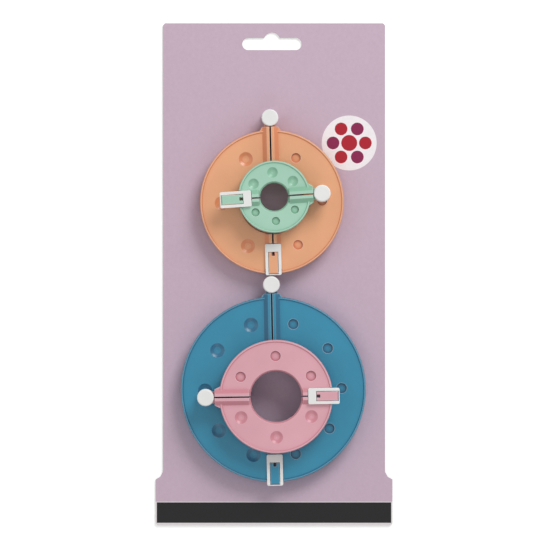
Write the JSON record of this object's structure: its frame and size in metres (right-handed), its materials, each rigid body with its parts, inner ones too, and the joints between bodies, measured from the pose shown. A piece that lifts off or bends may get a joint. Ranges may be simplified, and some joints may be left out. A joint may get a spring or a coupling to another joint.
{
  "type": "pom pom maker set",
  "caption": "Ring-shaped pom pom makers with hinged half-ring arms and flip clips, laid out on a flat hang card with a hang slot.",
  "frame": {"origin": "centre of the outline on the card's back face, which lies on the floor", "axes": "+Y up the card towards the hang slot, +Z out of the card's printed face, +X to the right seen from the front"},
  "size_m": [0.1156, 0.245, 0.0211],
  "materials": {
    "blue_plastic": "satin moulded",
    "orange_plastic": "satin moulded",
    "pink_plastic": "satin moulded",
    "mint_plastic": "satin moulded",
    "white_plastic": "satin moulded",
    "steel_pin": "drawn wire",
    "printed_board": "printed board, lightly coated"
  },
  "bodies": {
    "card": {"hang_card": "printed_board"},
    "blue_post": {"blue_hinge_post": "white_plastic", "blue_hinge_cap": "white_plastic"},
    "blue_left_arm": {"blue_front_left_plate": "blue_plastic", "blue_back_left_plate": "blue_plastic"},
    "blue_right_arm": {"blue_front_right_plate": "blue_plastic", "blue_back_right_plate": "blue_plastic", "blue_clip_pin": "steel_pin"},
    "blue_clip": {"blue_clip": "white_plastic"},
    "orange_post": {"orange_hinge_post": "white_plastic", "orange_hinge_cap": "white_plastic"},
    "orange_left_arm": {"orange_front_left_plate": "orange_plastic", "orange_back_left_plate": "orange_plastic"},
    "orange_right_arm": {"orange_front_right_plate": "orange_plastic", "orange_back_right_plate": "orange_plastic", "orange_clip_pin": "steel_pin"},
    "orange_clip": {"orange_clip": "white_plastic"},
    "pink_post": {"pink_hinge_post": "white_plastic", "pink_hinge_cap": "white_plastic"},
    "pink_left_arm": {"pink_front_left_plate": "pink_plastic", "pink_back_left_plate": "pink_plastic"},
    "pink_right_arm": {"pink_front_right_plate": "pink_plastic", "pink_back_right_plate": "pink_plastic", "pink_clip_pin": "steel_pin"},
    "pink_clip": {"pink_clip": "white_plastic"},
    "mint_post": {"mint_hinge_post": "white_plastic", "mint_hinge_cap": "white_plastic"},
    "mint_left_arm": {"mint_front_left_plate": "mint_plastic", "mint_back_left_plate": "mint_plastic"},
    "mint_right_arm": {"mint_front_right_plate": "mint_plastic", "mint_back_right_plate": "mint_plastic", "mint_clip_pin": "steel_pin"},
    "mint_clip": {"mint_clip": "white_plastic"}
  },
  "joints": [
    {"name": "blue_lift_off", "type": "slide", "parent": "card", "child": "blue_post", "axis": [0, 0, 1], "range_m": [0, 0.03]},
    {"name": "blue_left_arm_swing", "type": "hinge", "parent": "blue_post", "child": "blue_left_arm", "pos_m": [-0.00128, -0.00501, 0.006], "axis": [0, 0, -1], "range_deg": [0, 50]},
    {"name": "blue_right_arm_swing", "type": "hinge", "parent": "blue_post", "child": "blue_right_arm", "pos_m": [-0.00128, -0.00501, 0.006], "axis": [0, 0, 1], "range_deg": [0, 50]},
    {"name": "blue_clip_flip", "type": "hinge", "parent": "blue_right_arm", "child": "blue_clip", "pos_m": [0.00057, -0.10154, 0.0102], "axis": [0.9998, 0.0192, 0], "range_deg": [0, 100]},
    {"name": "orange_lift_off", "type": "slide", "parent": "card", "child": "orange_post", "axis": [0, 0, 1], "range_m": [0, 0.03]},
    {"name": "orange_left_arm_swing", "type": "hinge", "parent": "orange_post", "child": "orange_left_arm", "pos_m": [-0.002, 0.07619, 0.006], "axis": [0, 0, -1], "range_deg": [0, 95]},
    {"name": "orange_right_arm_swing", "type": "hinge", "parent": "orange_post", "child": "orange_right_arm", "pos_m": [-0.002, 0.07619, 0.006], "axis": [0, 0, 1], "range_deg": [0, 95]},
    {"name": "orange_clip_flip", "type": "hinge", "parent": "orange_right_arm", "child": "orange_clip", "pos_m": [-0.00016, 0.00086, 0.0102], "axis": [0.9997, 0.0244, 0], "range_deg": [0, 100]},
    {"name": "pink_lift_off", "type": "slide", "parent": "blue_left_arm", "child": "pink_post", "axis": [0, 0, 1], "range_m": [0, 0.03]},
    {"name": "pink_left_arm_swing", "type": "hinge", "parent": "pink_post", "child": "pink_left_arm", "pos_m": [-0.0332, -0.05978, 0.0162], "axis": [0, 0, -1], "range_deg": [0, 95]},
    {"name": "pink_right_arm_swing", "type": "hinge", "parent": "pink_post", "child": "pink_right_arm", "pos_m": [-0.0332, -0.05978, 0.0162], "axis": [0, 0, 1], "range_deg": [0, 95]},
    {"name": "pink_clip_flip", "type": "hinge", "parent": "pink_right_arm", "child": "pink_clip", "pos_m": [0.03055, -0.05889, 0.0204], "axis": [-0.014, 0.9999, 0], "range_deg": [0, 100]},
    {"name": "mint_lift_off", "type": "slide", "parent": "orange_right_arm", "child": "mint_post", "axis": [0, 0, 1], "range_m": [0, 0.03]},
    {"name": "mint_left_arm_swing", "type": "hinge", "parent": "mint_post", "child": "mint_left_arm", "pos_m": [0.02334, 0.03923, 0.0162], "axis": [0, 0, -1], "range_deg": [0, 95]},
    {"name": "mint_right_arm_swing", "type": "hinge", "parent": "mint_post", "child": "mint_right_arm", "pos_m": [0.02334, 0.03923, 0.0162], "axis": [0, 0, 1], "range_deg": [0, 95]},
    {"name": "mint_clip_flip", "type": "hinge", "parent": "mint_right_arm", "child": "mint_clip", "pos_m": [-0.02489, 0.03585, 0.0204], "axis": [0.0698, -0.9976, 0], "range_deg": [0, 100]}
  ]
}
